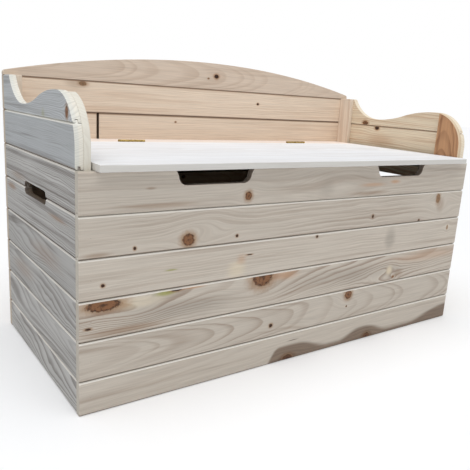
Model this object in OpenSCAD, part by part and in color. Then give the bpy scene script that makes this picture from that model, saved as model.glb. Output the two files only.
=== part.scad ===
// Wooden toy box and bench: board-built chest with S-curved arms, an arched back and a hinged lid.
// Frame: origin at the centre of the footprint on the floor, +X to the right seen from the front,
// front at -Y, +Z up. All sizes are in millimetres.

/* [Chest] */
// Width over the side walls
box_w = 1000; // [800:10:1200]
// Depth from the front boards to the back boards
box_d = 450; // [400:5:520]
// Height that one board covers
pitch = 70; // [66:1:76]
// Height that the lowest board covers, as it is ripped narrower
base_h = 62; // [56:1:70]
// Thickness of every wall board
board_t = 14; // [12:1:18]
// Open joint between two boards
board_gap = 1; // [0.6:0.1:2]
// Chamfer on the outer long edges of a board
edge_chamfer = 2.5; // [1:0.5:3]

/* [Arms and back] */
// Distance from the front boards to the lowest point of the arm's curve
dip_y = 300; // [270:5:330]
// Height of the lowest point above the arm's lower joint
dip_rise = 17; // [12:1:24]
// Distance from the front boards to the highest point of the arm's hump
hump_y = 108; // [100:2:120]
// Height of the hump above the arm's lower joint
hump_rise = 47; // [40:1:55]
// Radius of the arm's rounded front
nose_r = 85; // [70:1:90]
// Rise of the backrest's arch at its middle
arch_rise = 64; // [50:2:80]
// Height of the arch piece at its ends
arch_end = 9; // [8:1:12]
// Radius of the arch's two corners
arch_corner = 7; // [4:1:8]

/* [Posts and battens] */
// Thickness of the corner posts
post_t = 12; // [10:1:16]
// Width of the front posts along the side walls
front_post_w = 68; // [50:1:80]
// Width of the rear posts along the side walls
rear_post_w = 44; // [40:1:50]
// Width and thickness of the battens on the back
back_batten = [50, 12]; // [10:1:60]
// Distance from the side wall to the open butt joint in the back
butt_x = 203; // [180:1:240]
// Width of that open joint
butt_gap = 6; // [3:0.5:8]

/* [Lid] */
// Thickness of the lid and of the hinge rail
lid_t = 12; // [10:1:18]
// How far the lid stands out over the front
lid_overhang = 16; // [8:1:24]
// Gap between the lid and each front post
lid_side_gap = 2; // [1:0.5:4]
// Depth of the fixed rail behind the lid
rail_d = 70; // [60:1:80]
// Width and height of the two battens under the lid
lid_batten = [40, 15]; // [10:1:50]
// Distance of each of these battens from the middle
lid_batten_x = 400; // [340:10:420]

/* [Openings] */
// Distance of each front cut-out from the middle
cutout_x = 250; // [200:5:280]
// Length of a front cut-out at its top
cutout_w = 164; // [140:2:180]
// Depth of a front cut-out
cutout_h = 27; // [16:1:30]
// Distance from the front boards to the middle of a side hand hole
hole_y = 230; // [200:5:260]
// Length of a side hand hole
hole_w = 134; // [110:2:150]
// Height of a side hand hole
hole_h = 25; // [22:1:34]

/* [Hinges] */
// Distance of each hinge from the middle
hinge_x = 245; // [200:5:300]
// Length of a hinge
hinge_w = 65; // [60:1:80]
// Thickness of a hinge leaf
leaf_t = 1.2; // [1:0.1:1.2]
// Outer radius of the hinge knuckle
knuckle_r = 2.6; // [2.6:0.1:2.8]
// Radius of the hinge pin
pin_r = 1.2; // [1:0.1:1.3]

/* [Floor] */
// Width and height of the cleats under the floor
floor_cleat = [20, 20]; // [15:1:25]
// Thickness of the floor panel
floor_t = 8; // [6:1:12]

/* [Hidden] */

$fn = 48;
body_boards = 6;            // boards below the lid
side_boards = 7;            // side boards below the arm
back_boards = 8;            // back boards below the arch
tongue = [4, 5];            // tongue thickness and height
groove_play = 0.4;          // extra room in a groove
eps = 0.01;                 // overshoot of a cut

total_d = lid_overhang + box_d + back_batten[1];
front_y = lid_overhang - total_d / 2;    // outer face of the front boards
back_y = front_y + box_d;                // outer face of the back boards
side_x = box_w / 2;                      // outer face of a side wall
wall_x = side_x - board_t;               // inner face of a side wall
post_x = wall_x - post_t;                // inner face of a post
arm_z = joint_z(side_boards + 1);        // lower joint of the arms
top_z = joint_z(back_boards + 1);        // top of the arms and of the last straight back board
body_top = joint_z(body_boards + 1) - board_gap;    // upper edge of the front

arch_sagitta = arch_rise - arch_end;
arch_r = (side_x * side_x + arch_sagitta * arch_sagitta) / (2 * arch_sagitta);
arch_centre_z = top_z + arch_rise - arch_r;

lid_play = 0.4;                          // the closed lid above the front board
lid_z = body_top + lid_play;
lid_top = lid_z + lid_t;
rail_front = back_y - board_t - rail_d;
hinge_slack = 0.4;                       // air between the two closed leaves
axis_y = rail_front - leaf_t - hinge_slack / 2;
axis_z = lid_top + 2.3;                  // knuckles stand proud of the lid
lid_back = axis_y - leaf_t - hinge_slack / 2;
lid_w = 2 * (post_x - lid_side_gap);
knuckles = 5;
knuckle_gap = 0.3;
pin_play = 0.05;                         // running clearance round the pin
leaf_top = -knuckle_r - 0.4;             // top of a leaf's plate, from the axis
leaf_h = lid_t - 1.7;
screw_pitch = 24;
screw_z = leaf_top - leaf_h / 2;
screw_head = [2, leaf_t];                // radius and height
screw_shank = [1.2, 12];
brad_r = 0.9;
brad_long = 34;
floor_z = 10;                            // underside of the floor cleats

pine = "#d9c7a8";
pale = "#ece9e4";
tan_wood = "#c9a880";
brass = "#b89b57";
steel = "#9a9a9c";

// Height of the lower joint of board i
function joint_z(i) = i == 1 ? 0 : base_h + (i - 2) * pitch;

// Height of board i without the joint above it
function board_h(i) = (i == 1 ? base_h : pitch) - board_gap;

// ---- curves -------------------------------------------------------------------------------

function arc(centre, r, from, to, steps = 24) =
    [for (i = [0:steps]) let (a = from + (to - from) * i / steps) centre + r * [cos(a), sin(a)]];

// Side wall outline in (distance behind the front boards, height): a quarter-round nose, a hump,
// a long S down to the dip, and a short steep arc up to the full height at the rear post.
module side_outline() {
    dip_z = arm_z + dip_rise;
    hump_z = arm_z + hump_rise;
    run = (dip_y - hump_y) / 2;
    rise = (hump_z - dip_z) / 2;
    sweep_r = (run * run + rise * rise) / (2 * rise);
    sweep_a = asin(run / sweep_r);
    post_edge = box_d - board_t - rear_post_w;
    back_run = post_edge - dip_y;
    back_rise = top_z - dip_z;
    back_r = (back_run * back_run + back_rise * back_rise) / (2 * back_rise);
    back_a = asin(back_run / back_r);
    polygon(concat(
        [[board_t, 0], [box_d - board_t, 0], [box_d - board_t, top_z]],
        arc([dip_y, dip_z + back_r], back_r, -90 + back_a, -90),
        arc([dip_y, dip_z + sweep_r], sweep_r, -90, -90 - sweep_a, 12),
        arc([hump_y, hump_z - sweep_r], sweep_r, 90 - sweep_a, 90, 12),
        arc([board_t + nose_r, hump_z - nose_r], nose_r, 90, 180, 36)
    ));
}

// Arch outline in (distance from the middle, height)
module arch_outline() {
    corner_x = side_x - arch_corner;
    inner_r = arch_r - arch_corner;
    corner_z = arch_centre_z + sqrt(inner_r * inner_r - corner_x * corner_x);
    lean = asin(corner_x / inner_r);
    polygon(concat(
        [[-side_x, top_z], [side_x, top_z]],
        arc([corner_x, corner_z], arch_corner, 0, 90 - lean, 8),
        arc([0, arch_centre_z], arch_r, 90 - lean, 90 + lean, 40),
        arc([-corner_x, corner_z], arch_corner, 90 + lean, 180, 8)
    ));
}

// ---- boards -------------------------------------------------------------------------------

// Tongue-and-groove section: x from the outer face inwards, y up from the board's lower joint
module board_section(height, has_tongue, has_groove) {
    c = edge_chamfer;
    groove_t = tongue[0] + groove_play;
    difference() {
        polygon([[c, 0], [board_t, 0], [board_t, height], [c, height], [0, height - c], [0, c]]);
        if (has_groove)
            translate([(board_t - groove_t) / 2, -eps])
                square([groove_t, tongue[1] + eps]);
    }
    if (has_tongue)
        translate([(board_t - tongue[0]) / 2, height - eps])
            square([tongue[0], tongue[1] + eps]);
}

// Board number i of a stack, along +X from x0 to x1, outer face at y = 0, facing -Y
module stack_board(i, x0, x1, has_tongue) {
    translate([x0, 0, joint_z(i)])
        rotate([90, 0, 90])
            linear_extrude(x1 - x0)
                board_section(board_h(i), has_tongue, i > 1);
}

module front_board(i) {
    color(pine)
    translate([0, front_y, 0])
    difference() {
        stack_board(i, -side_x, side_x, i < body_boards);
        if (i == body_boards)
            for (x = [-cutout_x, cutout_x])
                translate([x, -eps, body_top])
                    hand_cutout();
    }
}

// Trapezoid with rounded lower corners, cut down from the top edge
module hand_cutout() {
    taper = 22;
    r = 16;
    w = cutout_w / 2;
    rotate([90, 0, 0])
        translate([0, 0, -board_t - 2 * eps])
            linear_extrude(board_t + 3 * eps)
                union() {
                    polygon([[-w, eps], [-w + taper - r, r - cutout_h], [-w + taper, -cutout_h],
                             [w - taper, -cutout_h], [w - taper + r, r - cutout_h], [w, eps]]);
                    for (s = [-1, 1])
                        translate([s * (w - taper), r - cutout_h])
                            circle(r);
                }
}

module back_stack(i, x0, x1) {
    translate([0, back_y, 0])
        mirror([0, 1, 0])
            stack_board(i, x0, x1, true);
}

module back_board(i) {
    color(pine) back_stack(i, -side_x, side_x);
}

module back_board_7(side) {
    gap_x = side_x - butt_x;
    color(pine)
        if (side < 0)
            back_stack(back_boards - 1, -side_x, -gap_x - butt_gap / 2);
        else
            back_stack(back_boards - 1, -gap_x + butt_gap / 2, side_x);
}

module back_arch() {
    groove_t = tongue[0] + groove_play;
    color(pine)
    difference() {
        translate([0, back_y, 0])
            rotate([90, 0, 0])
                linear_extrude(board_t)
                    arch_outline();
        translate([-side_x - eps, back_y - (board_t + groove_t) / 2, top_z - eps])
            cube([box_w + 2 * eps, groove_t, tongue[1] + eps]);
    }
}

// Side wall profile swept through the wall, from x = 0 inwards for t
module side_slab(t) {
    translate([0, front_y, 0])
        rotate([90, 0, 90])
            linear_extrude(t)
                side_outline();
}

// The part of a left side wall made from board i: 8 is the arm
module side_board(i) {
    is_arm = i > side_boards;
    notched = i == 5 || i == 6;
    height = is_arm ? pitch : board_h(i);
    difference() {
        intersection() {
            translate([0, front_y + board_t, joint_z(i)])
                rotate([90, 0, 0])
                    mirror([0, 0, 1])
                        linear_extrude(box_d - 2 * board_t)
                            board_section(height, !is_arm, i > 1);
            side_slab(board_t);
        }
        if (notched) side_hole();
    }
}

// Hand hole through a side wall, centred on the joint between boards 5 and 6
module side_hole() {
    r = 10;
    translate([-eps, front_y + hole_y, joint_z(6) - board_gap / 2])
        rotate([90, 0, 90])
            linear_extrude(board_t + 2 * eps)
                union() {
                    square([hole_w - 2 * r, hole_h], center = true);
                    square([hole_w, hole_h - 2 * r], center = true);
                    for (y = [-1, 1], z = [-1, 1])
                        translate([y * (hole_w / 2 - r), z * (hole_h / 2 - r)])
                            circle(r);
                }
}

// Places a left-hand piece on the left (-1) or mirrors it to the right (1)
module on_side(side) {
    mirror([side > 0 ? 1 : 0, 0, 0])
        translate([-side_x, 0, 0])
            children();
}

module side_wall_board(side, i) {
    color(pine) on_side(side) side_board(i);
}

// ---- posts, battens, floor ------------------------------------------------------------------

module post(side, y0, y1) {
    color(tan_wood)
    on_side(side)
    intersection() {
        translate([board_t, 0, 0]) side_slab(post_t);
        translate([board_t, front_y + y0, 0]) cube([post_t, y1 - y0, top_z]);
    }
}

module front_post(side) {
    post(side, board_t, board_t + front_post_w);
}

module rear_post(side) {
    post(side, box_d - board_t - rear_post_w, box_d - board_t);
}

module back_batten_strip(side) {
    x = side * (side_x - butt_x);
    top = top_z + arch_rise / 2;
    color(pine)
        translate([x - back_batten[0] / 2, back_y, 0])
            cube([back_batten[0], back_batten[1], top]);
}

module floor_panel() {
    play = 0.5;
    z = floor_z + floor_cleat[1];
    y0 = front_y + board_t + play;
    y1 = back_y - board_t - play;
    color(pine)
    difference() {
        translate([-wall_x + play, y0, z])
            cube([2 * (wall_x - play), y1 - y0, floor_t]);
        for (side = [-1, 1]) {
            post_notch(side, y0 - eps, y0 + front_post_w);
            post_notch(side, y1 - rear_post_w, y1 + eps);
        }
    }
}

// Cut for one post in the floor panel's corner, from y0 to y1
module post_notch(side, y0, y1) {
    reach = post_t + 0.5;
    translate([side * wall_x - reach, y0, floor_z + floor_cleat[1] - eps])
        cube([2 * reach, y1 - y0, floor_t + 2 * eps]);
}

module floor_cleat_long(y) {
    color(pine)
        translate([-post_x, y, floor_z])
            cube([2 * post_x, floor_cleat[0], floor_cleat[1]]);
}

module floor_cleat_side(side) {
    y0 = front_y + board_t + front_post_w;
    y1 = back_y - board_t - rear_post_w;
    color(pine)
        on_side(side)
            translate([board_t, y0, floor_z])
                cube([floor_cleat[0], y1 - y0, floor_cleat[1]]);
}

module rail_cleat() {
    h = 20;
    color(pine)
        translate([-post_x, back_y - board_t - h, lid_z - h])
            cube([2 * post_x, h, h]);
}

// ---- lid ------------------------------------------------------------------------------------

// Flat board from y0 to y1, with a small chamfer along its front upper edge
module planed_board(w, y0, y1) {
    c = 1.5;
    translate([-w / 2, y0, lid_z])
        rotate([90, 0, 90])
            linear_extrude(w)
                polygon([[0, 0], [y1 - y0, 0], [y1 - y0, lid_t], [c, lid_t], [0, lid_t - c]]);
}

module hinge_rail() {
    color(pale) planed_board(2 * post_x, rail_front, back_y - board_t);
}

module lid_panel() {
    color(pale) planed_board(lid_w, front_y - lid_overhang, lid_back);
}

module lid_batten_bar(side) {
    inset = 30;
    y0 = front_y + board_t + inset;
    color(pine)
        translate([side * lid_batten_x - lid_batten[0] / 2, y0, lid_z - lid_batten[1]])
            cube([lid_batten[0], lid_back - inset - y0, lid_batten[1]]);
}

// ---- hinges ---------------------------------------------------------------------------------

module at_hinge(side) {
    translate([side * hinge_x, axis_y, axis_z])
        children();
}

// One leaf: side_y is 1 for the rail's leaf and -1 for the lid's; first is its first knuckle
module leaf(side_y, first) {
    step = hinge_w / knuckles;
    plate_y = side_y > 0 ? hinge_slack / 2 : -hinge_slack / 2 - leaf_t;
    difference() {
        union() {
            translate([-hinge_w / 2, plate_y, leaf_top - leaf_h])
                cube([hinge_w, leaf_t, leaf_h]);
            for (k = [first:2:knuckles - 1])
                translate([-hinge_w / 2 + k * step + knuckle_gap / 2, 0, 0]) {
                    rotate([0, 90, 0])
                        cylinder(r = knuckle_r, h = step - knuckle_gap);
                    translate([0, plate_y, leaf_top - eps])
                        cube([step - knuckle_gap, leaf_t, -leaf_top - pin_r - 0.4]);
                }
        }
        translate([-hinge_w / 2 - 1, 0, 0])
            rotate([0, 90, 0])
                cylinder(r = pin_r + pin_play, h = hinge_w + 2);
        for (x = [-screw_pitch, 0, screw_pitch])
            translate([x, plate_y - 1, screw_z])
                rotate([-90, 0, 0])
                    cylinder(r = screw_head[0] + 0.2, h = leaf_t + 2);
    }
}

module hinge_leaf(side, side_y) {
    color(brass)
        at_hinge(side)
            leaf(side_y, side_y > 0 ? 0 : 1);
}

module hinge_pin(side) {
    color(steel)
        at_hinge(side)
            translate([-hinge_w / 2, 0, 0])
                rotate([0, 90, 0])
                    cylinder(r = pin_r, h = hinge_w);
}

// Screws through one leaf of each hinge, heads flush with the leaf
module hinge_screws(side_y) {
    color(brass)
        for (side = [-1, 1], x = [-screw_pitch, 0, screw_pitch])
            at_hinge(side)
                translate([x, side_y * hinge_slack / 2, screw_z])
                    rotate([-90 * side_y, 0, 0]) {
                        cylinder(r = screw_head[0], h = screw_head[1]);
                        cylinder(r = screw_shank[0], h = screw_shank[1]);
                    }
}

// ---- brads ----------------------------------------------------------------------------------

// Height of the brad in board i
function brad_z(i) = joint_z(i) + board_h(i) / 2;

// Brads through the ends of the front boards (dir 1) or back boards (dir -1) into the posts
module brads_long(y, dir, boards) {
    x = (wall_x + post_x) / 2;
    color(steel)
        for (side = [-1, 1], i = [1:boards])
            translate([side * x, y, brad_z(i)])
                rotate([-90 * dir, 0, 0])
                    cylinder(r = brad_r, h = brad_long);
}

// Brads through the side boards into both posts of one side
module brads_side(side) {
    long = board_t + post_t - 3;
    ys = [board_t + front_post_w / 2, box_d - board_t - rear_post_w / 2];
    color(steel)
        on_side(side)
            for (y = ys, i = [1:side_boards + 1])
                translate([0, front_y + y, min(brad_z(i), arm_z + pitch / 3)])
                    rotate([0, 90, 0])
                        cylinder(r = brad_r, h = long);
}

// ---- nodes ----------------------------------------------------------------------------------

for (i = [1:6]) front_board(i);
for (i = [1:6]) back_board(i);
back_board_7(-1);  // back_board_7_left
back_board_7(1);  // back_board_7_right
back_board(8);  // back_board_8
back_arch();
for (i = [1:7]) side_wall_board(-1, i);
for (i = [1:7]) side_wall_board(1, i);
side_wall_board(-1, 8);  // left_arm
side_wall_board(1, 8);  // right_arm
front_post(-1);  // post_front_left
front_post(1);  // post_front_right
rear_post(-1);  // post_rear_left
rear_post(1);  // post_rear_right
back_batten_strip(-1);  // back_batten_left
back_batten_strip(1);  // back_batten_right
floor_panel();
floor_cleat_long(front_y + board_t);  // floor_cleat_front
floor_cleat_long(back_y - board_t - floor_cleat[0]);  // floor_cleat_back
floor_cleat_side(-1);  // floor_cleat_left
floor_cleat_side(1);  // floor_cleat_right
hinge_rail();
rail_cleat();
lid_panel();
lid_batten_bar(-1);  // lid_batten_left
lid_batten_bar(1);  // lid_batten_right
hinge_leaf(-1, 1);  // hinge_left_fixed_leaf
hinge_leaf(-1, -1);  // hinge_left_moving_leaf
hinge_pin(-1);  // hinge_left_pin
hinge_leaf(1, 1);  // hinge_right_fixed_leaf
hinge_leaf(1, -1);  // hinge_right_moving_leaf
hinge_pin(1);  // hinge_right_pin
hinge_screws(1);  // hinge_screws_fixed
hinge_screws(-1);  // hinge_screws_moving
brads_long(front_y, 1, 6);  // brads_front
brads_long(back_y, -1, 8);  // brads_back
brads_side(-1);  // brads_left
brads_side(1);  // brads_right
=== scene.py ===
"""Looks of the wooden toy box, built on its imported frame: planed pine boards with their knots,
brass hinges, steel brads, a pale studio floor, soft light and the camera. Lengths are in metres."""

import math
import random
from collections import namedtuple

import bpy
from mathutils import Matrix, Vector


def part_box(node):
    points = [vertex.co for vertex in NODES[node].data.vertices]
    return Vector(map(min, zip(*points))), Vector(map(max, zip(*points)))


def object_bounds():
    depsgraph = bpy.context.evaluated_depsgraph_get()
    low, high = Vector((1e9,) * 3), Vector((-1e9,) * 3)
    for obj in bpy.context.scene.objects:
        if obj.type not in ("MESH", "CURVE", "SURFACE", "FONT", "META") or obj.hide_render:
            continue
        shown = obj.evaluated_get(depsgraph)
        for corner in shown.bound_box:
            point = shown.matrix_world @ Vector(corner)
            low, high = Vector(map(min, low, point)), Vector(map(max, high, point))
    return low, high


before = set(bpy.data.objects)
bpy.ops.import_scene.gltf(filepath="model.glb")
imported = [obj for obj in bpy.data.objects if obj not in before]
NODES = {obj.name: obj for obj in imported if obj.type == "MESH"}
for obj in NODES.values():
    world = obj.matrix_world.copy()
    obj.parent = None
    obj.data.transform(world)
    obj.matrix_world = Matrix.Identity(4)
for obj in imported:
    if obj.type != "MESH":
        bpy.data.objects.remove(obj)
cad_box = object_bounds()

X, Y, Z = 0, 1, 2
BOARD_COUNT_FRONT = 6
BOARD_COUNT_SIDE = 7
TONGUE = 0.005  # how far a board's tongue stands above its upper edge


def srgb(red, green, blue):
    """A linear colour from 0-255 display values."""
    def linear(value):
        value /= 255
        return value / 12.92 if value <= 0.04045 else ((value + 0.055) / 1.055) ** 2.4
    return linear(red), linear(green), linear(blue), 1.0


# ---- node graphs ------------------------------------------------------------------------------

class Graph:
    """Short calls that build a material's nodes. A value is a number, a tuple or a node's output."""

    def __init__(self, name):
        self.material = bpy.data.materials.new(name)
        self.material.use_nodes = True
        self.tree = self.material.node_tree
        self.shader = self.tree.nodes["Principled BSDF"]

    def put(self, socket, value):
        if isinstance(value, bpy.types.NodeSocket):
            self.tree.links.new(value, socket)
        else:
            socket.default_value = value

    def node(self, kind, inputs=(), **settings):
        node = self.tree.nodes.new("ShaderNode" + kind)
        for name, value in settings.items():
            setattr(node, name, value)
        for key, value in dict(inputs).items():
            self.put(node.inputs[key], value)
        return node

    def math(self, operation, *values):
        return self.node("Math", enumerate(values), operation=operation).outputs[0]

    def add(self, *values):
        total = values[0]
        for value in values[1:]:
            total = self.math("ADD", total, value)
        return total

    def scaled(self, value, factor, offset=0.0):
        return self.math("MULTIPLY_ADD", value, factor, offset)

    def swing(self, value, size):
        """Noise, which lies about 0.5, turned into a swing about 0."""
        return self.scaled(value, size, -size / 2)

    def combine(self, x, y, z):
        return self.node("CombineXYZ", enumerate((x, y, z))).outputs[0]

    def noise(self, vector, scale, detail, roughness=0.5):
        inputs = {"Vector": vector, "Scale": scale, "Detail": detail, "Roughness": roughness}
        return self.node("TexNoise", inputs).outputs[0]

    def stretched(self, along, across, depth, scales, detail, roughness=0.5):
        """Noise with one scale along and another across; depth is given already scaled."""
        place = self.combine(self.scaled(along, scales[0]), self.scaled(across, scales[1]), depth)
        return self.noise(place, 1.0, detail, roughness)

    def length(self, x, y):
        return self.node("VectorMath", {0: self.combine(x, y, 0.0)}, operation="LENGTH").outputs["Value"]

    def smooth(self, value, low, high, to_low=0.0, to_high=1.0):
        inputs = enumerate((value, low, high, to_low, to_high))
        return self.node("MapRange", inputs, interpolation_type="SMOOTHSTEP").outputs[0]

    def mix(self, factor, first, second, blend="MIX"):
        inputs = {0: factor, 6: first, 7: second}
        return self.node("Mix", inputs, data_type="RGBA", blend_type=blend).outputs[2]

    def bump(self, height, distance, strength):
        inputs = {"Height": height, "Distance": distance, "Strength": strength}
        self.put(self.shader.inputs["Normal"], self.node("Bump", inputs).outputs[0])


# ---- wood -------------------------------------------------------------------------------------

# A knot: place along and across the board, half its length and width, and how dark it is. With no
# darkness it only bends the grain.
Knot = namedtuple("Knot", "along across half_long half_wide dark")

# A soft-edged patch of another colour, such as resin or a brown streak
Tinge = namedtuple("Tinge", "along across half_long half_wide colour amount")

# How a board was cut: where the pith lies across the board and behind its face, how fast it runs
# away along the board (this makes the cathedral arches), and how thick a year's ring is.
Cut = namedtuple("Cut", "across behind slope ring")

# Heartwood below a line that starts at base and climbs by rise between start and end, for each step
Heart = namedtuple("Heart", "base steps")
Step = namedtuple("Step", "start end rise")

# Colours of one kind of wood: pale early wood, darker late wood, how strongly its rings and its
# long brown streaks show, its sawn edges and ends, the painted light of its upper chamfer (a highlight on
# the front and left side, shade on the right side and back), and the early wood of its inner face, where the
# outer face's early wood is painted shade.
Tint = namedtuple("Tint", "early late rings streaks sawn chamfer inside", defaults=(None,))

# Where a board lies: the axes of its grain, width and depth, its middle across the width, and the
# place and direction (-1 or 1) of the outer face, from which depth is counted
Axes = namedtuple("Axes", "grain width depth middle face facing")

# Scales of the wood's noises along and across the grain, per metre
SLOW_BEND = (2.4, 7.0)
QUICK_BEND = (12.0, 34.0)
FIBRE = (12.0, 520.0)
STREAK = (2.2, 75.0)
PATCH = (3.5, 11.0)

# The wood's own early colour on the inner faces of the left side, whose outer faces carry painted shade
INSIDE = srgb(226, 210, 186)
# Painted on the chamfers at the joints: a painted highlight on upper chamfers that face the light, painted
# shade on the inner boards' upper chamfers and on every lower chamfer
CHAMFER_PAINTED_HIGHLIGHT = srgb(244, 240, 232)
CHAMFER_PAINTED_SHADE_INNER = srgb(150, 120, 96)
CHAMFER_PAINTED_SHADE_LOWER = srgb(104, 76, 56)

FRONT_TINT = Tint(srgb(211, 201, 188), srgb(134, 108, 88), 0.50, 0.30, srgb(186, 180, 168), CHAMFER_PAINTED_HIGHLIGHT)
# The left side's and left arm's early wood is darkened and greyed as painted shade, since these faces lie
# away from the light; INSIDE gives their inner faces the wood's own colour
SIDE_TINT = Tint(srgb(183, 181, 178), srgb(84, 74, 66), 0.62, 0.60, srgb(112, 102, 94),
                 CHAMFER_PAINTED_HIGHLIGHT, INSIDE)
ARM_TINT = Tint(srgb(184, 187, 189), srgb(104, 98, 94), 0.40, 0.50, srgb(240, 238, 228),
                CHAMFER_PAINTED_HIGHLIGHT, INSIDE)
ARCH_TINT = Tint(srgb(228, 209, 190), srgb(178, 148, 122), 0.30, 0.30, srgb(214, 200, 182), CHAMFER_PAINTED_SHADE_INNER)
# The back boards' and right side's early wood is lighter than the front's: partly their own paler wood,
# partly painted light for the light the lid throws back inside the box
BACK_TINT = Tint(srgb(238, 219, 198), srgb(196, 160, 128), 0.38, 0.34, srgb(168, 158, 144), CHAMFER_PAINTED_SHADE_INNER)
RIGHT_TINT = Tint(srgb(240, 224, 198), srgb(188, 140, 98), 0.50, 0.45, srgb(242, 230, 208), CHAMFER_PAINTED_SHADE_INNER)
LID_TINT = Tint(srgb(244, 245, 248), srgb(206, 198, 192), 0.38, 0.24, srgb(208, 204, 196), CHAMFER_PAINTED_HIGHLIGHT)
RAIL_TINT = Tint(srgb(242, 230, 222), srgb(212, 188, 168), 0.35, 0.25, srgb(208, 200, 188), CHAMFER_PAINTED_HIGHLIGHT)
PALE_TINT = Tint(srgb(226, 221, 208), srgb(188, 170, 150), 0.35, 0.20, srgb(232, 228, 216), CHAMFER_PAINTED_HIGHLIGHT)
CREAM_TINT = Tint(srgb(240, 224, 206), srgb(196, 166, 140), 0.45, 0.40, srgb(236, 220, 200), CHAMFER_PAINTED_HIGHLIGHT)
ORANGE_TINT = Tint(srgb(196, 150, 112), srgb(112, 68, 42), 0.75, 0.60, srgb(232, 214, 186), CHAMFER_PAINTED_HIGHLIGHT)
INNER_TINT = Tint(srgb(200, 180, 154), srgb(150, 118, 88), 0.60, 0.30, srgb(180, 158, 130), CHAMFER_PAINTED_SHADE_INNER)

STRAIGHT = Cut(across=0.22, behind=0.05, slope=0.02, ring=0.0050)
FINE = Cut(across=0.22, behind=0.05, slope=0.02, ring=0.0030)
CURLY = Cut(across=0.02, behind=0.03, slope=0.028, ring=0.0027)
ARCHED = Cut(across=0.002, behind=0.026, slope=0.085, ring=0.0058)
PLAIN = Cut(across=0.035, behind=0.06, slope=0.03, ring=0.0048)

HEARTWOOD = srgb(138, 118, 100)
HEART_DARK = srgb(104, 86, 72)
KNOT_PALE = srgb(168, 142, 112)
KNOT_BROWN = srgb(136, 94, 64)
KNOT_DARK = srgb(62, 42, 32)
KNOT_HALO = srgb(208, 170, 134)
# Painted shade on the sawn edges inside the hand holes and the back's butt joint, which lie in shadow
HOLE_PAINTED_SHADE = srgb(96, 80, 66)

# How far in from a board's edge each chamfer's painted highlight and shade fades out, and where it is full
UPPER_CHAMFER = (0.0030, 0.0022)
LOWER_CHAMFER = (0.0026, 0.0012)


def board_axes(name, grain, width, facing, tongue):
    """A board's Axes, from its box. The middle leaves out the tongue that stands above it."""
    low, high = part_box(name)
    depth = X + Y + Z - grain - width
    face = low[depth] if facing < 0 else high[depth]
    return Axes(grain, width, depth, (low[width] + high[width] - tongue) / 2, face, facing)


def board_position(g, axes):
    """The three board coordinates at a point: along the grain, across the width, and into the face."""
    xyz = g.node("SeparateXYZ", {0: g.node("TexCoord").outputs["Object"]}).outputs
    across = g.math("SUBTRACT", xyz[axes.width], axes.middle)
    into = g.scaled(xyz[axes.depth], -axes.facing, axes.facing * axes.face)
    return xyz[axes.grain], across, into


def sawn_edge(g, axes):
    """Strong on a board's sawn edges and ends, and nothing on its two planed faces."""
    normal = g.node("SeparateXYZ", {0: g.node("TexCoord").outputs["Normal"]}).outputs[axes.depth]
    return g.smooth(g.math("ABSOLUTE", normal), 0.4, 0.8, 0.8, 0.0)


def spot_distance(g, along, across, spot, stretch=(1.0, 1.0)):
    """Distance from a spot's middle, 1 at its edge. Also returns the offset across the board."""
    off_along = g.math("SUBTRACT", along, spot.along)
    off_across = g.math("SUBTRACT", across, spot.across)
    distance = g.length(g.math("DIVIDE", off_along, stretch[0] * spot.half_long),
                        g.math("DIVIDE", off_across, stretch[1] * spot.half_wide))
    return distance, off_across


def knot_fields(g, along, across, knots, seed):
    """Bends the grain round each knot; returns bent across, nearness, mask, darkness and halo."""
    ragged = g.swing(g.noise(g.combine(along, across, seed), 140.0, 3.0, 0.6), 0.7)
    bent, near, mask, dark, halo = across, 9.0, 0.0, 0.0, 0.0
    for knot in knots:
        reach, off_across = spot_distance(g, along, across, knot, (3.6, 2.4))
        pull = g.math("EXPONENT", g.math("MULTIPLY", g.math("MULTIPLY", reach, reach), -1.0))
        bent = g.math("SUBTRACT", bent, g.math("MULTIPLY", g.scaled(pull, 0.85), off_across))
        if not knot.dark:
            continue
        distance = g.add(spot_distance(g, along, across, knot)[0], ragged)
        here = g.smooth(distance, 0.8, 1.2, 1.0, 0.0)
        near = g.math("MINIMUM", near, distance)
        mask = g.math("MAXIMUM", mask, here)
        dark = g.math("MAXIMUM", dark, g.scaled(here, knot.dark))
        halo = g.math("MAXIMUM", halo, g.smooth(distance, 0.9, 2.0, 0.7 * knot.dark, 0.0))
    return bent, near, mask, dark, halo


def ring_field(g, along, bent, into, cut, seed):
    """Late wood from 0 to 1 at a point: distance from a wandering pith, counted in year rings."""
    slow = g.stretched(along, bent, seed, SLOW_BEND, 2.0)
    quick = g.stretched(along, bent, seed + 3.1, QUICK_BEND, 3.0)
    wander = g.add(bent, g.swing(slow, 0.024), g.swing(quick, 0.009))
    aside = g.math("SUBTRACT", wander, cut.across)
    behind = g.add(g.scaled(along, cut.slope, cut.behind + cut.slope * 0.5), into)
    radius = g.length(aside, behind)
    uneven = g.noise(g.combine(g.scaled(radius, 90.0), seed, 0.0), 1.0, 1.0)
    phase = g.math("FRACT", g.add(g.scaled(radius, 1 / cut.ring), g.scaled(uneven, 4.0)))
    rise = g.smooth(phase, 0.35, 0.88)
    drop = g.smooth(phase, 0.90, 1.0, 1.0, 0.0)
    return g.math("MULTIPLY", rise, drop)


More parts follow.
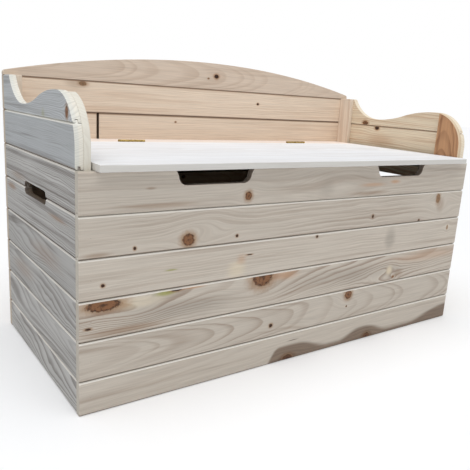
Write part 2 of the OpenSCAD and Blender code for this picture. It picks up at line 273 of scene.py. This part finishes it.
def knot_colour(g, near, dark, place):
    """A knot's face: mottled brown with a broken dark rim and a darker heart, or pale if it's faint."""
    mottle = g.noise(place, 260.0, 3.0, 0.65)
    body = g.mix(g.smooth(mottle, 0.45, 0.75, 0.0, 0.8), KNOT_BROWN, KNOT_DARK)
    rim = g.math("MULTIPLY", g.smooth(near, 0.6, 0.85), g.smooth(mottle, 0.35, 0.6, 0.15, 0.85))
    body = g.mix(rim, body, KNOT_DARK)
    body = g.mix(g.smooth(near, 0.0, 0.4, 0.8, 0.0), body, KNOT_DARK)
    body = g.mix(g.smooth(dark, 0.95, 1.0), body, KNOT_DARK)
    return g.mix(g.smooth(dark, 0.2, 0.9), KNOT_PALE, body)


def add_heartwood(g, colour, along, bent, fibre, streak, heart):
    """Grey-brown heartwood on the lower side of a rising line."""
    line = heart.base
    for step in heart.steps:
        line = g.add(line, g.smooth(along, step.start, step.end, 0.0, step.rise))
    above = g.add(g.math("SUBTRACT", bent, line), g.swing(streak, 0.012))
    inside = g.smooth(above, -0.010, 0.0015, 1.0, 0.0)
    return g.mix(g.scaled(inside, 0.9), colour, g.mix(g.smooth(fibre, 0.3, 0.7), HEARTWOOD, HEART_DARK))


def plain_colour(g, along, bent, into, late, streak, tint, seed):
    """Early and late wood and the long brown streaks. The rings fade out in patches."""
    patch = g.stretched(along, bent, seed + 11, PATCH, 2.0)
    visible = g.math("MULTIPLY", late, g.smooth(patch, 0.3, 0.65, 0.2, 1.0))
    early = tint.early
    # Where a wood has an inside colour, its outer face's early wood is painted shade and its inner face gets
    # the wood's own colour
    if tint.inside:
        early = g.mix(g.smooth(into, 0.005, 0.009), tint.early, tint.inside)
    colour = g.mix(g.scaled(visible, tint.rings), early, tint.late)
    return g.mix(g.smooth(streak, 0.5, 0.72, 0.0, tint.streaks), colour, tint.late)


def add_tinges(g, colour, along, across, streak, tinges):
    """Stains with edges that the streaks make uneven."""
    for tinge in tinges:
        distance = g.add(spot_distance(g, along, across, tinge)[0], g.swing(streak, 1.2))
        colour = g.mix(g.smooth(distance, 0.2, 1.2, tinge.amount, 0.0), colour, tinge.colour)
    return colour


def add_chamfers(g, colour, across, edge, tint):
    """The chamfers at either side of a joint, edge away from the board's middle: the upper one gets its
    wood's painted chamfer colour, a painted highlight on the front and left side and painted shade on the
    right side and back, and the lower one gets painted shade.
    """
    fade, full = UPPER_CHAMFER
    colour = g.mix(g.smooth(across, edge - fade, edge - full, 0.0, 0.85), colour, tint.chamfer)
    fade, full = LOWER_CHAMFER
    return g.mix(g.smooth(across, full - edge, fade - edge, 0.8, 0.0), colour, CHAMFER_PAINTED_SHADE_LOWER)


def sawn_colour(g, name, along, late, tint):
    """Sawn edges and ends, with painted shade on those in a hand hole or a butt joint."""
    colour = g.mix(g.scaled(late, 0.13), tint.sawn, tint.late)
    if name in PAINTED_SHADE_EDGES:
        middle, reach = PAINTED_SHADE_EDGES[name]
        off = g.math("ABSOLUTE", g.math("SUBTRACT", g.math("ABSOLUTE", along), middle))
        # painted shade on the sawn edges in the hole or joint
        colour = g.mix(g.smooth(off, reach - 0.001, reach, 1.0, 0.0), colour, HOLE_PAINTED_SHADE)
    return colour


def set_wood_shader(g, colour, late, fibre, mask):
    """A matt surface, smoother on the late wood, with its fibres, late wood and knots raised."""
    g.put(g.shader.inputs["Base Color"], colour)
    g.put(g.shader.inputs["Roughness"], g.add(g.scaled(fibre, 0.16, 0.56), g.scaled(late, -0.06)))
    g.shader.inputs["Specular IOR Level"].default_value = 0.28
    g.bump(g.add(g.scaled(late, 0.35), g.scaled(fibre, 0.5), g.scaled(mask, 0.3)), 0.0004, 0.6)


def wood(name, axes, tint, cut, spots=(), heart=None, edge=None):
    """A planed pine board. edge is half its width where the painted highlight and shade of its chamfers
    show.
    """
    g = Graph("wood_" + name)
    seed = random.Random(name).uniform(0, 40)
    knots = [spot for spot in spots if isinstance(spot, Knot)]
    tinges = [spot for spot in spots if isinstance(spot, Tinge)]
    along, across, into = board_position(g, axes)
    bent, near, mask, dark, halo = knot_fields(g, along, across, knots, seed)
    late = ring_field(g, along, bent, into, cut, seed)
    fibre = g.stretched(along, bent, g.scaled(into, FIBRE[1], seed), FIBRE, 3.0, 0.6)
    streak = g.stretched(along, bent, g.scaled(into, STREAK[1], seed + 7), STREAK, 3.0, 0.55)

    colour = plain_colour(g, along, bent, into, late, streak, tint, seed)
    if heart:
        colour = add_heartwood(g, colour, along, bent, fibre, streak, heart)
    colour = add_tinges(g, colour, along, across, streak, tinges)
    shade = g.scaled(fibre, 0.44, 0.78)
    colour = g.mix(1.0, colour, g.combine(shade, shade, shade), "MULTIPLY")
    if knots:
        colour = g.mix(halo, colour, KNOT_HALO, "MULTIPLY")
        colour = g.mix(mask, colour, knot_colour(g, near, dark, g.combine(along, across, seed)))
    if edge:
        colour = add_chamfers(g, colour, across, edge, tint)
    colour = g.mix(sawn_edge(g, axes), colour, sawn_colour(g, name, along, late, tint))
    set_wood_shader(g, colour, late, fibre, mask)
    return g.material


# ---- metal ------------------------------------------------------------------------------------

# Scales of the brushing noise along and across the strokes, per metre
BRUSHING = (60.0, 2600.0)


def metal(name, bright, dull, roughness):
    """Metal brushed along X, with a mottled tarnish."""
    g = Graph(name)
    place = g.node("TexCoord").outputs["Object"]
    mottle = g.noise(place, 260.0, 4.0, 0.6)
    xyz = g.node("SeparateXYZ", {0: place}).outputs
    brushed = g.stretched(xyz[X], xyz[Y], g.scaled(xyz[Z], BRUSHING[1]), BRUSHING, 2.0)
    colour = g.mix(g.smooth(mottle, 0.4, 0.7), bright, dull)
    g.put(g.shader.inputs["Base Color"], colour)
    g.put(g.shader.inputs["Roughness"], g.add(g.scaled(mottle, 0.25, roughness), g.scaled(brushed, 0.1)))
    g.shader.inputs["Metallic"].default_value = 1.0
    g.bump(brushed, 0.00005, 0.5)
    return g.material


def paint(name, material):
    """Gives a CAD node its material."""
    slots = NODES[name].data.materials
    slots.clear()
    slots.append(material)


def soften(name, radius):
    """Eases a CAD node's sharp edges with modifiers; its mesh stays as it is."""
    node = NODES[name]
    weld = node.modifiers.new("weld", "WELD")
    weld.merge_threshold = 0.00001
    flats = node.modifiers.new("flats", "DECIMATE")
    flats.decimate_type = "DISSOLVE"
    flats.angle_limit = math.radians(0.5)
    bevel = node.modifiers.new("ease", "BEVEL")
    bevel.width = radius
    bevel.segments = 3
    bevel.limit_method = "ANGLE"
    bevel.angle_limit = math.radians(28)
    for polygon in node.data.polygons:
        polygon.use_smooth = True
    normals = node.modifiers.new("flat faces", "WEIGHTED_NORMAL")
    normals.weight = 100


# ---- the boards -------------------------------------------------------------------------------

RESIN = srgb(150, 150, 70)
ORANGE = srgb(190, 140, 98)
BROWN = srgb(142, 112, 86)
GREY = srgb(150, 142, 132)
PALE = srgb(224, 210, 184)

# What each front board shows, from the floor up: its cut, how strong its rings are, its heartwood,
# and its knots and tinges
FRONT = {
    1: (Cut(0.05, 0.09, 0.05, 0.008), 0.12,
        Heart(-0.034, (Step(-0.115, -0.07, 0.037), Step(-0.02, 0.07, -0.018), Step(0.10, 0.17, 0.016),
                       Step(0.18, 0.28, -0.017), Step(0.34, 0.50, 0.028))),
        [Knot(-0.047, -0.027, 0.015, 0.009, 0.98), Knot(0.197, -0.025, 0.012, 0.008, 0.97),
         Tinge(-0.035, 0.012, 0.018, 0.0012, KNOT_DARK, 0.8)]),
    2: (ARCHED, 0.45, None,
        [Knot(0.120, 0.024, 0.011, 0.011, 0.95), Knot(-0.100, -0.009, 0.0045, 0.004, 1.0),
         Knot(0.118, -0.004, 0.002, 0.002, 1.0), Knot(0.03, -0.01, 0.022, 0.02, 0.0)]),
    3: (Cut(0.035, 0.06, 0.03, 0.0031), 0.62, None,
        [Knot(-0.130, 0.030, 0.026, 0.021, 0.95), Knot(-0.459, 0.025, 0.032, 0.011, 0.95),
         Knot(-0.323, 0.033, 0.012, 0.004, 1.0), Knot(-0.485, -0.012, 0.006, 0.002, 1.0),
         Knot(0.251, -0.008, 0.013, 0.013, 0.0), Knot(0.268, -0.024, 0.004, 0.003, 0.8),
         Knot(-0.39, 0.02, 0.016, 0.012, 0.0), Knot(0.20, -0.02, 0.02, 0.012, 0.0),
         Tinge(-0.345, 0.029, 0.024, 0.006, RESIN, 0.8), Tinge(-0.285, 0.032, 0.030, 0.004, ORANGE, 0.7),
         Tinge(-0.40, 0.02, 0.06, 0.012, PALE, 0.5), Tinge(-0.075, 0.026, 0.05, 0.014, ORANGE, 0.55),
         Tinge(-0.42, -0.024, 0.09, 0.007, BROWN, 0.6), Tinge(0.40, 0.018, 0.16, 0.02, ORANGE, 0.3),
         Tinge(0.10, 0.0, 0.22, 0.02, GREY, 0.3), Tinge(0.251, -0.006, 0.012, 0.012, PALE, 0.8),
         Tinge(0.285, -0.018, 0.02, 0.010, BROWN, 0.45), Tinge(-0.30, -0.005, 0.14, 0.02, GREY, 0.45)]),
    4: (STRAIGHT, 0.22, None,
        [Knot(-0.460, -0.011, 0.0035, 0.003, 1.0), Knot(-0.167, 0.009, 0.007, 0.0012, 1.0),
         Knot(0.006, 0.029, 0.003, 0.003, 1.0), Knot(0.457, 0.012, 0.003, 0.006, 0.5),
         Tinge(-0.335, 0.0, 0.016, 0.0022, RESIN, 0.7), Tinge(-0.195, -0.016, 0.026, 0.018, PALE, 0.6),
         Tinge(-0.185, 0.002, 0.014, 0.012, ORANGE, 0.35), Tinge(0.24, 0.0, 0.02, 0.03, GREY, 0.5)]),
    5: (Cut(0.14, 0.05, 0.03, 0.0060), 0.32, None,
        [Knot(-0.303, -0.019, 0.0125, 0.0115, 0.95), Knot(-0.405, -0.024, 0.003, 0.003, 1.0),
         Knot(-0.199, -0.021, 0.003, 0.0028, 1.0), Knot(0.171, -0.010, 0.003, 0.004, 1.0),
         Knot(0.337, -0.032, 0.0035, 0.0035, 1.0), Knot(0.402, 0.019, 0.008, 0.012, 0.6),
         Knot(-0.255, -0.005, 0.016, 0.014, 0.0), Knot(0.44, 0.0, 0.014, 0.018, 0.0),
         Tinge(-0.47, -0.029, 0.03, 0.005, BROWN, 0.5), Tinge(0.415, 0.0, 0.016, 0.02, BROWN, 0.35)]),
    6: (Cut(0.09, 0.06, 0.05, 0.0066), 0.18, None,
        [Knot(-0.178, -0.017, 0.008, 0.0085, 0.9), Knot(0.07, -0.012, 0.03, 0.022, 0.0),
         Knot(0.235, -0.004, 0.014, 0.004, 0.0), Tinge(0.232, -0.004, 0.022, 0.006, ORANGE, 0.6),
         Tinge(-0.378, 0.005, 0.012, 0.003, BROWN, 0.5),
         Tinge(-0.36, -0.024, 0.08, 0.005, BROWN, 0.45), Tinge(0.16, -0.008, 0.05, 0.006, ORANGE, 0.45),
         Tinge(0.145, -0.026, 0.07, 0.005, BROWN, 0.45), Tinge(0.02, -0.01, 0.03, 0.02, GREY, 0.3)]),
}

# How light each board of the front and the left side is beside the others
FRONT_SHADE = {1: 0.90, 2: 0.88, 3: 0.91, 4: 0.95, 5: 0.87, 6: 0.85}
LEFT_SHADE = {1: 1.0, 2: 0.97, 3: 0.90, 4: 0.86, 5: 0.97, 6: 0.98, 7: 0.86}

# Boards whose hand holes or butt joint get painted shade on their sawn edges: how far they lie from the
# box's middle, and how far along the board they reach from there
PAINTED_SHADE_EDGES = {"front_board_6": (0.25, 0.083), "left_board_5": (0.0, 0.08), "left_board_6": (0.0, 0.08),
              "right_board_5": (0.0, 0.08), "right_board_6": (0.0, 0.08),
              "back_board_7_left": (0.3, 0.02), "back_board_7_right": (0.3, 0.02)}

# Spots on single boards of the sides and back. An empty list is a clear board.
SPOTS = {
    "left_board_1": [Knot(-0.05, 0.0, 0.05, 0.02, 0.0)],
    "left_board_2": [Knot(0.12, 0.005, 0.04, 0.018, 0.0)],
    "left_board_3": [Knot(-0.06, -0.01, 0.04, 0.02, 0.0), Tinge(0.10, 0.0, 0.08, 0.02, BROWN, 0.3)],
    "left_board_4": [Knot(0.06, 0.0, 0.03, 0.016, 0.0), Tinge(-0.05, 0.0, 0.10, 0.02, BROWN, 0.3)],
    "left_board_5": [Tinge(-0.119, 0.012, 0.06, 0.006, BROWN, 0.6),
                     Tinge(0.171, 0.021, 0.04, 0.008, BROWN, 0.7)],
    "left_board_6": [Tinge(0.12, -0.02, 0.07, 0.010, BROWN, 0.35)],
    "left_board_7": [],
    "left_arm": [Knot(-0.175, -0.02, 0.006, 0.010, 0.9), Tinge(-0.054, -0.03, 0.012, 0.012, RESIN, 0.35)],
    "right_board_7": [Knot(0.068, 0.029, 0.008, 0.006, 1.0), Tinge(0.05, -0.005, 0.06, 0.02, ORANGE, 0.4)],
    "right_arm": [Knot(0.114, -0.030, 0.010, 0.006, 0.95), Tinge(-0.02, 0.02, 0.10, 0.02, PALE, 0.4)],
    "back_board_7_right": [Knot(-0.094, 0.020, 0.003, 0.002, 0.7)],
    "back_board_8": [Knot(-0.332, 0.028, 0.009, 0.005, 0.6), Knot(0.160, 0.005, 0.0035, 0.003, 1.0),
                     Tinge(-0.345, 0.03, 0.03, 0.02, BROWN, 0.35)],
    "back_arch": [Knot(0.021, 0.0, 0.007, 0.0055, 1.0), Knot(-0.003, -0.006, 0.003, 0.002, 0.7)],
}

# How many small knots a board gets that isn't listed
KNOTS_PER_METRE = 2.5

# The left side's boards have curly grain up to this one and fine straight grain above it
LAST_CURLY = 4

# How far edges are eased: on boards and cleats, on the posts, hinge rail and back battens, and on
# the arms, arch and lid
EASE_BOARD = 0.0006
EASE_POST = 0.001
EASE_CURVE = 0.0014


def random_spots(name, length, half_width):
    """Knots for a board that has none listed: the name seeds them, so they're the same each run."""
    dice = random.Random("knots " + name)
    spots = []
    for _ in range(round(KNOTS_PER_METRE * length)):
        size = dice.uniform(0.002, 0.007)
        spots.append(Knot(dice.uniform(-0.45, 0.45) * length, dice.uniform(-0.8, 0.8) * half_width,
                          size * dice.uniform(1.0, 1.5), size, dice.uniform(0.6, 1.0)))
    return spots


def shaded(tint, factor):
    """The same wood, lighter or darker."""
    red, green, blue, _ = tint.early
    return tint._replace(early=(red * factor, green * factor, blue * factor, 1.0))


def dress(name, grain, width, facing, tint, cut=None, spots=None, heart=None, tongue=0.0,
          ease=EASE_BOARD):
    """Gives one board its wood and eases its edges. A board with a tongue also gets painted highlight and
    shade on the chamfers of its joints.
    """
    dice = random.Random("cut " + name)
    low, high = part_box(name)
    edge = (high[width] - low[width] - tongue) / 2
    if spots is None:
        spots = SPOTS.get(name)
    if spots is None:
        spots = random_spots(name, high[grain] - low[grain], edge)
    cut = cut or dice.choice((STRAIGHT, ARCHED, PLAIN))
    axes = board_axes(name, grain, width, facing, tongue)
    tint = shaded(tint, dice.uniform(0.96, 1.03))
    paint(name, wood(name, axes, tint, cut, spots, heart, edge if tongue else None))
    soften(name, ease)


def dress_walls():
    """The front, the sides with their arms, and the back with its arch."""
    for number, (cut, rings, heart, spots) in FRONT.items():
        tint = shaded(FRONT_TINT, FRONT_SHADE[number])._replace(rings=rings)
        tongue = TONGUE if number < BOARD_COUNT_FRONT else 0.0
        dress(f"front_board_{number}", X, Z, -1, tint, cut, spots, heart, tongue)
    for number, shade in LEFT_SHADE.items():
        tint = shaded(ARM_TINT if number == BOARD_COUNT_SIDE else SIDE_TINT, shade)
        dress(f"left_board_{number}", Y, Z, -1, tint, CURLY if number <= LAST_CURLY else FINE, tongue=TONGUE)
    dress("left_arm", Y, Z, -1, ARM_TINT, FINE, ease=EASE_CURVE)
    for number in range(1, BOARD_COUNT_SIDE):
        dress(f"right_board_{number}", Y, Z, 1, RIGHT_TINT, tongue=TONGUE)
    dress(f"right_board_{BOARD_COUNT_SIDE}", Y, Z, 1, RIGHT_TINT, STRAIGHT, tongue=TONGUE)
    dress("right_arm", Y, Z, 1, RIGHT_TINT, STRAIGHT, ease=EASE_CURVE)
    for number in range(1, BOARD_COUNT_FRONT + 1):
        dress(f"back_board_{number}", X, Z, -1, BACK_TINT, tongue=TONGUE)
    for name in ("back_board_7_left", "back_board_7_right", "back_board_8"):
        dress(name, X, Z, -1, BACK_TINT, STRAIGHT, tongue=TONGUE)
    dress("back_arch", X, Z, -1, ARCH_TINT, ARCHED, ease=EASE_CURVE)


def dress_inside():
    """The corner posts, the battens and cleats, and the floor."""
    dress("post_front_left", Z, Y, 1, PALE_TINT, STRAIGHT, ease=EASE_POST)
    dress("post_front_right", Z, Y, -1, ORANGE_TINT, Cut(0.012, 0.03, 0.07, 0.0036), ease=EASE_POST)
    dress("post_rear_left", Z, Y, 1, CREAM_TINT, STRAIGHT, (), ease=EASE_POST)
    dress("post_rear_right", Z, Y, -1, CREAM_TINT, STRAIGHT, (), ease=EASE_POST)
    for name in ("back_batten_left", "back_batten_right"):
        dress(name, Z, X, 1, INNER_TINT, STRAIGHT, ease=EASE_POST)
    for name in ("floor_panel", "floor_cleat_front", "floor_cleat_back", "rail_cleat"):
        dress(name, X, Y, 1, INNER_TINT)
    for name in ("floor_cleat_left", "floor_cleat_right", "lid_batten_left", "lid_batten_right"):
        dress(name, Y, X, 1, INNER_TINT, STRAIGHT)


def dress_top():
    """The lid and the fixed rail behind it."""
    dress("lid_panel", X, Y, 1, LID_TINT, PLAIN, (), ease=EASE_CURVE)
    dress("hinge_rail", X, Y, 1, RAIL_TINT, STRAIGHT, (), ease=EASE_POST)


def dress_metal():
    """Brass leaves and screws, and steel hinge pins and brads."""
    brass = metal("brass", srgb(214, 184, 112), srgb(150, 120, 66), 0.25)
    steel = metal("steel", srgb(122, 118, 114), srgb(58, 54, 52), 0.4)
    for name in NODES:
        if name.startswith("hinge_") and name != "hinge_rail":
            paint(name, steel if name.endswith("pin") else brass)
        if name.startswith("brads_"):
            paint(name, steel)


# ---- the studio -------------------------------------------------------------------------------

def studio_floor():
    """A wide pale floor, level with the lowest boards."""
    bpy.ops.mesh.primitive_plane_add(size=40, location=(0, 0, cad_box[0].z))
    floor = bpy.context.object
    floor.name = "studio_floor"
    g = Graph("studio_floor")
    place = g.node("TexCoord").outputs["Object"]
    cloudy = g.noise(place, 0.8, 2.0)
    g.put(g.shader.inputs["Base Color"], g.mix(cloudy, srgb(254, 254, 255), srgb(250, 250, 251)))
    g.shader.inputs["Roughness"].default_value = 0.9
    floor.data.materials.append(g.material)


def studio_light():
    """One broad soft light overhead, a little to the front and right, and an even pale surround."""
    data = bpy.data.lights.new("overhead", "SUN")
    data.energy = 2.28
    data.angle = math.radians(70)
    sun = bpy.data.objects.new("overhead", data)
    sun.rotation_euler = Vector((0.16, 0.24, -1.0)).to_track_quat("-Z", "Y").to_euler()
    bpy.context.scene.collection.objects.link(sun)
    world = bpy.data.worlds.new("studio")
    world.use_nodes = True
    bpy.context.scene.world = world
    tree = world.node_tree
    fill = tree.nodes["Background"]
    fill.inputs["Color"].default_value = (0.95, 0.98, 1.0, 1.0)
    fill.inputs["Strength"].default_value = 0.35
    white = tree.nodes.new("ShaderNodeBackground")
    white.inputs["Color"].default_value = (1.0, 1.0, 1.0, 1.0)
    path = tree.nodes.new("ShaderNodeLightPath")
    mix = tree.nodes.new("ShaderNodeMixShader")
    tree.links.new(path.outputs["Is Camera Ray"], mix.inputs[0])
    tree.links.new(fill.outputs[0], mix.inputs[1])
    tree.links.new(white.outputs[0], mix.inputs[2])
    tree.links.new(mix.outputs[0], tree.nodes["World Output"].inputs["Surface"])
    bpy.context.scene.view_settings.view_transform = "Standard"


def camera():
    """The photographer stands off the left front corner, a little above the lid, head tilted."""
    heading, dip, tilt = 0.6245, 0.238, 0.0623
    ahead = Vector((math.sin(heading) * math.cos(dip), math.cos(heading) * math.cos(dip), -math.sin(dip)))
    level = Vector((math.cos(heading), -math.sin(heading), 0.0))
    lift = level.cross(ahead)
    right = level * math.cos(tilt) + lift * math.sin(tilt)
    up = lift * math.cos(tilt) - level * math.sin(tilt)
    data = bpy.data.cameras.new("camera")
    data.sensor_width = 36.0
    data.lens = 42.8
    data.clip_end = 60.0
    view = bpy.data.objects.new("camera", data)
    view.matrix_world = Matrix((right, up, -ahead)).transposed().to_4x4()
    view.location = (-0.791, -1.038, 0.531)
    bpy.context.scene.collection.objects.link(view)
    bpy.context.scene.camera = view


dress_walls()
dress_inside()
dress_top()
dress_metal()
studio_floor()
studio_light()
camera()
